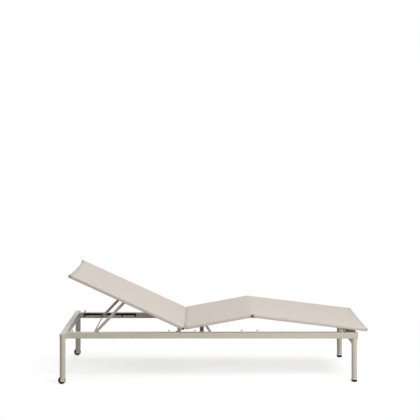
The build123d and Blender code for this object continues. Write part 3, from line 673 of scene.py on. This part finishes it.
class Threads(Gathered):
    """Short raised stitches."""

    def __init__(self):
        super().__init__(sewing_thread, "sling_mesh")

    def stitch(self, start, end, normal):
        """One stitch that dives into the cloth at both ends."""
        along = (end - start).normalized()
        side = along.cross(normal)
        base, count = len(self.points), STITCH_CORNERS
        for share, width, lift in STITCH_RINGS:
            centre = start.lerp(end, share) + normal * STITCH_RADIUS * lift
            for corner in range(count):
                angle = 2 * math.pi * (corner + 0.5) / count
                reach = side * math.cos(angle) + normal * math.sin(angle)
                self.points.append(centre + reach * STITCH_RADIUS * width)
        last = base + count * (len(STITCH_RINGS) - 1)
        for ring in range(base, last, count):
            for corner in range(count):
                first, second = ring + corner, ring + (corner + 1) % count
                self.faces.append((first, second, second + count, first + count))
        self.faces.append(tuple(reversed(range(base, base + count))))
        self.faces.append(tuple(range(last, last + count)))

    def row(self, place, length, normal, gaps=()):
        """Stitches along a line given by a function from a distance to a point, with gaps left out."""
        for number in range(int(length / STITCH_PITCH)):
            start = number * STITCH_PITCH + (STITCH_PITCH - STITCH_LENGTH) / 2
            end = start + STITCH_LENGTH
            if all(end < low or start > high for low, high in gaps):
                self.stitch(place(start), place(end), normal)


def hem_seam(threads, section, seam_run, edge_run=None, scallop=0.0):
    """A row of stitches across a section, on the sheet's upper face."""
    half = TUBE_SIDE - 2 * HEM_MARGIN
    row = Row(section, seam_run, drop=-CLOTH / 2)
    row.edge_run, row.scallop = edge_run, scallop

    def place(distance):
        return row.point(distance - half, COVER, "top")

    threads.row(place, 2 * half, section.up)


def peg_runs(zero, direction):
    """Where a section that lies flat rests on the pegs, as runs from its pivot's place on the frame."""
    pegs = node_points("rest_pegs")
    along = np.sort((pegs[pegs[:, 1] < 0][:, 0] - zero) * direction)
    clusters = np.split(along, np.nonzero(np.diff(along) > PEG_SPACING)[0] + 1)
    return [(cluster[0] - STITCH_PITCH, cluster[-1] + STITCH_PITCH) for cluster in clusters]


def side_seams(threads, section, wrap, pegs):
    """Rows of stitches along the fabric's two ends under the tubes, left out where pegs carry it."""
    start, end = wrap[:, 0].min(), wrap[:, 0].max()
    gaps = [(low - start, high - start) for low, high in pegs]
    for sign in (-1, 1):
        side = sign * (WRAP_INNER + SIDE_SEAM_INSET)

        def place(distance):
            return section.point(start + distance, side, -COVER - CLOTH / 2)

        threads.row(place, end - start, -section.up, gaps)


back_threads, seat_threads, leg_threads = Threads(), Threads(), Threads()
hem_seam(back_threads, back, back_hem + SEAM_INSET, back_edge, back_scallop)
hem_seam(seat_threads, seat, seat_hem - SEAM_INSET)
hem_seam(leg_threads, leg, leg_hem + SEAM_INSET)
side_seams(back_threads, back, back_wrap, peg_runs(hinge.x, -1))
side_seams(seat_threads, seat, seat_wrap, peg_runs(hinge.x, 1))
side_seams(leg_threads, leg, leg_wrap, peg_runs(hinge.x + knee_run, 1))
back_stitches = back_threads.object("back_stitches", "backrest")
seat_stitches = seat_threads.object("seat_stitches", "seat")
leg_stitches = leg_threads.object("leg_stitches", "leg_rest")


# The cloths' bodies, and the CAD pieces that they stand for

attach(back_cloth, "backrest")
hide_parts("back_sling", "back_sleeves")
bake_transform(long_cloth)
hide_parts("seat_sling", "seat_sleeves", "leg_sling", "leg_sleeves")


# Welds

BEAD_STEP = 0.0028
BEAD_CORNERS = 6
BEAD_RIPPLE = 0.13  # how much thicker and thinner than its middle size a bead gets
FRAME_BEAD, SECTION_BEAD, PEG_BEAD = 0.0013, 0.0014, 0.0007
ARC_POINTS = 28
FEWEST_PLACES = 8  # round the shortest bead
PEG_CELL = 0.03  # two pegs' feet never lie in one cell of this length


class Beads(Gathered):
    """Painted weld beads, half sunk in the tubes that they join."""

    def __init__(self):
        super().__init__(slot_materials["frame_coat"], "frame_coat")

    def loop(self, line, radius):
        """A rippled bead round a closed line of points."""
        line = [Vector(point) for point in line]
        lengths = [(second - first).length for first, second in zip(line, line[1:] + line[:1])]
        total = sum(lengths)
        count = max(FEWEST_PLACES, 2 * round(total / BEAD_STEP / 2))
        places, segment, passed = [], 0, 0.0
        for number in range(count):
            wanted = total * number / count
            while passed + lengths[segment] < wanted:
                passed += lengths[segment]
                segment += 1
            share = (wanted - passed) / lengths[segment]
            places.append(line[segment].lerp(line[(segment + 1) % len(line)], share))
        middle = sum(places, Vector()) / count
        base = len(self.points)
        for number, place in enumerate(places):
            along = (places[(number + 1) % count] - places[number - 1]).normalized()
            outward = (place - middle) - along * (place - middle).dot(along)
            outward.normalize()
            across = along.cross(outward)
            size = radius * (1 + BEAD_RIPPLE * (1 if number % 2 else -1))
            for corner in range(BEAD_CORNERS):
                angle = 2 * math.pi * corner / BEAD_CORNERS
                self.points.append(place + (outward * math.cos(angle) + across * math.sin(angle)) * size)
        for number in range(count):
            here, there = base + number * BEAD_CORNERS, base + (number + 1) % count * BEAD_CORNERS
            for corner in range(BEAD_CORNERS):
                other = (corner + 1) % BEAD_CORNERS
                self.faces.append((here + corner, here + other, there + other, there + corner))

    def ring(self, centre, first, second, reach, radius):
        """A bead round a circle or ellipse, given by its centre and two half axes' directions."""
        line = []
        for step in range(ARC_POINTS):
            angle = 2 * math.pi * step / ARC_POINTS
            line.append(centre + (first * math.cos(angle) + second * math.sin(angle)) * reach)
        self.loop(line, radius)

    def frame(self, centre, first, second, radius):
        """A bead round a rectangle, given by its centre and two half sides."""
        self.loop([centre + first * one + second * other for one, other in SQUARE], radius)

    def coped(self, axis, towards, low, high, reach, radius):
        """A bead round a box tube's end where it meets a round leg, from the leg's axis towards the tube."""
        line = []
        for height, order in ((high, 1), (low, -1)):
            for step in range(ARC_POINTS + 1):
                angle = math.radians(-90 + 180 * step / ARC_POINTS) * order
                side = reach * math.sin(angle)
                line.append(Vector((axis[0] + side, axis[1] + towards * reach * math.cos(angle), height)))
        self.loop(line, radius)


X, Y, Z = Vector((1, 0, 0)), Vector((0, 1, 0)), Vector((0, 0, 1))


def outer_ends(section, node, margin):
    """The middle and half size, in the section's own axes, of what a node has beside the side tubes."""
    ends = section.local(node)
    ends = ends[np.abs(ends[:, 1]) > TUBE_SIDE - margin]
    low, high = ends.min(0), ends.max(0)
    return (low + high) / 2, (high - low) / 2


def section_welds(section, bars, plates=None):
    """Beads where a section's cross bars and plates meet the inner faces of its side tubes."""
    beads = Beads()
    for bar in bars:
        middle, half = outer_ends(section, bar, HEM_MARGIN)
        for sign in (-1, 1):
            centre = section.point(middle[0], sign * TUBE_SIDE, middle[2])
            beads.ring(centre, section.along, section.up, half[0], SECTION_BEAD)
    if plates:
        middle, half = outer_ends(section, plates, CLOTH / 2)
        for sign in (-1, 1):
            centre = section.point(middle[0], sign * TUBE_SIDE, middle[2])
            beads.frame(centre, section.along * half[0], section.up * half[2], SECTION_BEAD)
    return beads


back_bars = ("back_lower_bar", "back_upper_bar", "back_pivot_rod")
section_welds(back, back_bars).object("back_welds", "backrest")
seat_bars = ("seat_rear_bar", "seat_front_bar", "seat_pivot_rod")
section_welds(seat, seat_bars, "seat_hinge_plates").object("seat_welds", "seat")
leg_bars = ("leg_upper_bar", "leg_lower_bar", "leg_rest_bar")
section_welds(leg, leg_bars, "leg_knee_plates").object("leg_welds", "leg_rest")


def frame_welds():
    """Beads where the base frame's tubes meet."""
    beads = Beads()
    for side, sign in (("near", -1), ("far", 1)):
        middle, half = middle_and_half(f"side_rail_{side}")
        head_end = Vector((middle.x - half.x, middle.y, middle.z))
        beads.frame(head_end, Y * half.y, Z * half.z, FRAME_BEAD)
        inner = middle.y - sign * half.y
        middle, half = middle_and_half("middle_cross_rail")
        beads.frame(Vector((middle.x, inner, middle.z)), X * half.x, Z * half.z, FRAME_BEAD)
        for end in ("head", "foot"):
            axis, leg_half = middle_and_half(f"{end}_leg_{side}")
            low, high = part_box(f"{end}_cross_rail")
            beads.coped(axis, -sign, low.z, high.z, leg_half.x, FRAME_BEAD)
            if end == "foot":
                leg_top = Vector((axis.x, axis.y, axis.z + leg_half.z))
                beads.ring(leg_top, X, Y, leg_half.x, FRAME_BEAD)
    return beads


def peg_welds(beads):
    """A bead round each rest peg's foot."""
    pegs = node_points("rest_pegs")
    feet = {}
    for point in pegs[np.abs(pegs[:, 2] - pegs[:, 2].min()) < SAME_PLACE]:
        feet.setdefault((round(point[0] / PEG_CELL), point[1] > 0), []).append(point)
    for corners in feet.values():
        low, high = Vector(np.min(corners, 0)), Vector(np.max(corners, 0))
        half = (high - low) / 2
        beads.frame((low + high) / 2, X * half.x, Y * half.y, PEG_BEAD)


base_beads = frame_welds()
peg_welds(base_beads)
base_beads.object("base_welds", "base_frame")


# Painted shade: thin black sheets behind the racks, inside the side rails, that darken the hollow rails

SHADE_SHEET_THICKNESS = 0.0010
SHADE_SHEET_GAP = 0.0004  # behind the rail's wall, and above the rack
SHADE_SHEET_MARGIN = 0.004  # past the rack at its ends and below
RAIL_WALL = 0.0025
RAIL_ROUND = 0.0028  # below the rail's top, where its face begins
RACK_FLOOR = 0.008  # above the rail's underside, and lower than any notch
RAIL_ENDS = 0.01  # of the rail, which hold no rack


def rack_box(rail):
    """The low and the high corner of the rack's opening, from the points of the rail's inner face."""
    low, high = rail.min(0), rail.max(0)
    face = rail[np.abs(rail[:, 1]) < np.abs(rail[:, 1]).min() + SAME_PLACE]
    face = face[(face[:, 2] > low[2] + RACK_FLOOR) & (face[:, 2] < high[2] - RAIL_ROUND)]
    face = face[(face[:, 0] > low[0] + RAIL_ENDS) & (face[:, 0] < high[0] - RAIL_ENDS)]
    return face.min(0), face.max(0)


def box_piece(name, low, high, material):
    """A box between two corners."""
    points = list(itertools.product(*zip(low, high)))
    faces = [(0, 1, 3, 2), (4, 6, 7, 5), (0, 4, 5, 1), (2, 3, 7, 6), (0, 2, 6, 4), (1, 5, 7, 3)]
    return mesh_piece(name, points, faces, material)


# Each sheet is painted shade: it stands where there is only shade inside a rail, seen through the rack's
# slot
for side, sign in (("near", -1), ("far", 1)):
    rail = node_points(f"side_rail_{side}")
    start, end = rack_box(rail)
    shade_sheet_face = np.abs(rail[:, 1]).min() + RAIL_WALL + SHADE_SHEET_GAP
    shade_sheet_sides = sorted((sign * shade_sheet_face, sign * (shade_sheet_face + SHADE_SHEET_THICKNESS)))
    shade_sheet = box_piece(
        f"rack_painted_shade_{side}",
        (start[0] - SHADE_SHEET_MARGIN, shade_sheet_sides[0], start[2] - SHADE_SHEET_MARGIN),
        (end[0] + SHADE_SHEET_MARGIN, shade_sheet_sides[1], end[2] + SHADE_SHEET_GAP),
        slot_materials["liner_plastic"],
    )
    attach(shade_sheet, "base_frame")


# Black rims over the foot glides with pale rings, lighter than the frame's coat, above them, and black lips
# under the head legs

TURN_STEPS = 48
RIM_HEIGHT, RIM_PROUD = 0.0065, 0.0009
PALE_RING_HEIGHT, PALE_RING_PROUD = 0.0085, 0.0005
LIP_HEIGHT = 0.0050
LIP_CLEAR = 30.0  # degrees from the wheel's plane to a lip's end
RING_SUNK = 0.0004  # into the leg
RING_DROP = 0.0002  # below the leg's end
RING_ROUND = 0.0005
FULL_TURN = ((0.0, 360.0),)
BOTH_CHEEKS = ((LIP_CLEAR, 180.0 - LIP_CLEAR), (180.0 + LIP_CLEAR, 360.0 - LIP_CLEAR))


def turned_rings(name, profile, centres, material, spans=FULL_TURN):
    """Closed rings or arcs turned from one profile of radius and height, round each centre."""
    points, faces = [], []
    count = len(profile)
    for centre, (start, end) in itertools.product(centres, spans):
        base = len(points)
        whole = end - start == 360.0
        steps = round(TURN_STEPS * (end - start) / 360.0)
        for step in range(steps if whole else steps + 1):
            angle = math.radians(start + (end - start) * step / steps)
            for radius, height in profile:
                place = (radius * math.cos(angle), radius * math.sin(angle), height)
                points.append(Vector(centre) + Vector(place))
        for step in range(steps):
            here, there = base + step * count, base + (step + 1) * count
            if whole and step + 1 == steps:
                there = base
            for index in range(count):
                other = (index + 1) % count
                faces.append((here + index, there + index, there + other, here + other))
        if not whole:
            faces.append(tuple(range(base, base + count)))
            faces.append(tuple(reversed(range(len(points) - count, len(points)))))
    piece = mesh_piece(name, points, faces, slot_materials[material])
    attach(piece, "base_frame")


def ring_profile(proud, low, high):
    """The section of a thin ring round a leg, with its two outer edges rounded."""
    inner, outer = leg_radius - RING_SUNK, leg_radius + proud
    lower = [(inner, low), (outer - RING_ROUND, low), (outer, low + RING_ROUND)]
    upper = [(outer, high - RING_ROUND), (outer - RING_ROUND, high), (inner, high)]
    return lower + upper


def leg_ends(end):
    """The middle of each leg's lower end, at the head or the foot of the bed."""
    boxes = [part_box(f"{end}_leg_{side}") for side in ("near", "far")]
    return [((low.x + high.x) / 2, (low.y + high.y) / 2, low.z) for low, high in boxes]


leg_radius = middle_and_half("foot_leg_far")[1].x
rim = ring_profile(RIM_PROUD, -RING_DROP, RIM_HEIGHT)
turned_rings("foot_glide_rims", rim, leg_ends("foot"), "liner_plastic")
pale_ring = ring_profile(PALE_RING_PROUD, RIM_HEIGHT, RIM_HEIGHT + PALE_RING_HEIGHT)
turned_rings("foot_leg_pale_rings", pale_ring, leg_ends("foot"), "pale_coat")
lip = ring_profile(RIM_PROUD, -RING_DROP, LIP_HEIGHT)
turned_rings("wheel_housing_lips", lip, leg_ends("head"), "liner_plastic", BOTH_CHEEKS)


# Softened edges on the small hard parts

EDGE_ANGLE = 40  # degrees, and sharper edges than this are softened
EDGE_SEGMENTS = 2
EDGE_WIDTHS = {
    0.0007: ("hinge_brackets", "seat_hinge_plates", "leg_knee_plates", "rest_pegs"),
    0.0009: ("back_strut_near", "back_strut_far", "seat_struts"),
    0.0014: ("leg_rest_blocks",),
    0.0005: ("hinge_nuts", "knee_nuts", "back_rod_collars", "seat_rod_collars", "bracket_screws"),
}
for width, names in EDGE_WIDTHS.items():
    for name in names:
        weld = nodes[name].modifiers.new("weld", "WELD")
        weld.merge_threshold = SAME_PLACE
        bevel = nodes[name].modifiers.new("edges", "BEVEL")
        bevel.width = width
        bevel.segments = EDGE_SEGMENTS
        bevel.limit_method = "ANGLE"
        bevel.angle_limit = math.radians(EDGE_ANGLE)
        bevel.use_clamp_overlap = True


# Floor and light

FLOOR_REACH = 40.0
FLOOR_TONE = 0.76  # as it is seen
FLOOR_GLOW = 0.63  # added where it is seen
FLOOR_BOUNCE = 0.30  # its tone for the light that it throws back
FADE_START, FADE_END = 0.9, 1.5  # from the middle to where the floor is plain white
FADE_SQUEEZE = (0.95, 1.0, 1.0)
AMBIENT = 0.22


def make_floor():
    """A pale floor that keeps the shadow under the bed and turns plain white further out."""
    material = bpy.data.materials.new("floor")
    material.use_nodes = True
    graph = Graph(material.node_tree)
    graph.tree.nodes.clear()
    seen = graph.seen()
    tone = graph.add("ShaderNodeMapRange", Value=seen, To_Min=FLOOR_BOUNCE, To_Max=FLOOR_TONE)
    diffuse = graph.add("ShaderNodeBsdfDiffuse", Color=(tone, "Result"))
    glow = graph.add("ShaderNodeEmission", Strength=graph.math("MULTIPLY", seen, FLOOR_GLOW))
    lit = graph.add("ShaderNodeAddShader")
    graph.put(lit, 0, (diffuse, 0))
    graph.put(lit, 1, (glow, 0))
    length = graph.add("ShaderNodeVectorMath", "LENGTH")
    graph.put(length, 0, graph.stretched(graph.place(), FADE_SQUEEZE))
    fade = graph.add("ShaderNodeMapRange", Value=(length, "Value"), From_Min=FADE_START, From_Max=FADE_END)
    fade.interpolation_type = "SMOOTHSTEP"
    mixed = graph.add("ShaderNodeMixShader")
    graph.put(mixed, 0, graph.math("MULTIPLY", (fade, "Result"), seen))
    graph.put(mixed, 1, (lit, 0))
    graph.put(mixed, 2, (graph.add("ShaderNodeEmission"), 0))
    graph.add("ShaderNodeOutputMaterial", Surface=(mixed, 0))
    corners = [(x * FLOOR_REACH, y * FLOOR_REACH, 0) for x, y in SQUARE]
    floor = mesh_piece("floor", corners, [(0, 1, 2, 3)], material)


def make_world():
    """White where it is seen, directly or in gloss, and a weaker even light on everything else."""
    world = bpy.data.worlds.new("studio")
    bpy.context.scene.world = world
    world.use_nodes = True
    graph = Graph(world.node_tree)
    background = graph.tree.nodes["Background"]
    strength = graph.add("ShaderNodeMapRange", Value=graph.seen(), To_Min=AMBIENT, To_Max=1.0)
    graph.put(background, "Color", grey(1.0))
    graph.put(background, "Strength", (strength, "Result"))


BED_MIDDLE = (0.1, 0.0, 0.3)

# Name, place, the point that it faces, width, height, watts
LAMPS = (
    ("overhead", (0.2, 0.3, 3.0), (0.2, 0.0, 0.3), 2.6, 2.4, 32),
    ("high", (2.1, -3.0, 3.4), BED_MIDDLE, 2.2, 1.5, 89),
    ("front", (1.2, -5.9, 0.9), BED_MIDDLE, 3.0, 1.2, 91),
    ("side", (4.2, -1.2, 1.0), BED_MIDDLE, 1.6, 1.2, 31),
    ("behind", (-1.2, 4.6, 1.5), (-0.75, 0.4, 0.3), 2.0, 1.2, 24),
)


def area_light(name, place, target, width, height, watts):
    data = bpy.data.lights.new(name, "AREA")
    data.shape = "RECTANGLE"
    data.size, data.size_y = width, height
    data.energy = watts
    lamp = new_object(name, data)
    lamp.location = place
    lamp.rotation_euler = (Vector(target) - Vector(place)).to_track_quat("-Z", "Y").to_euler()


make_floor()
make_world()
for lamp in LAMPS:
    area_light(*lamp)

view = bpy.context.scene.view_settings
view.view_transform = "Standard"
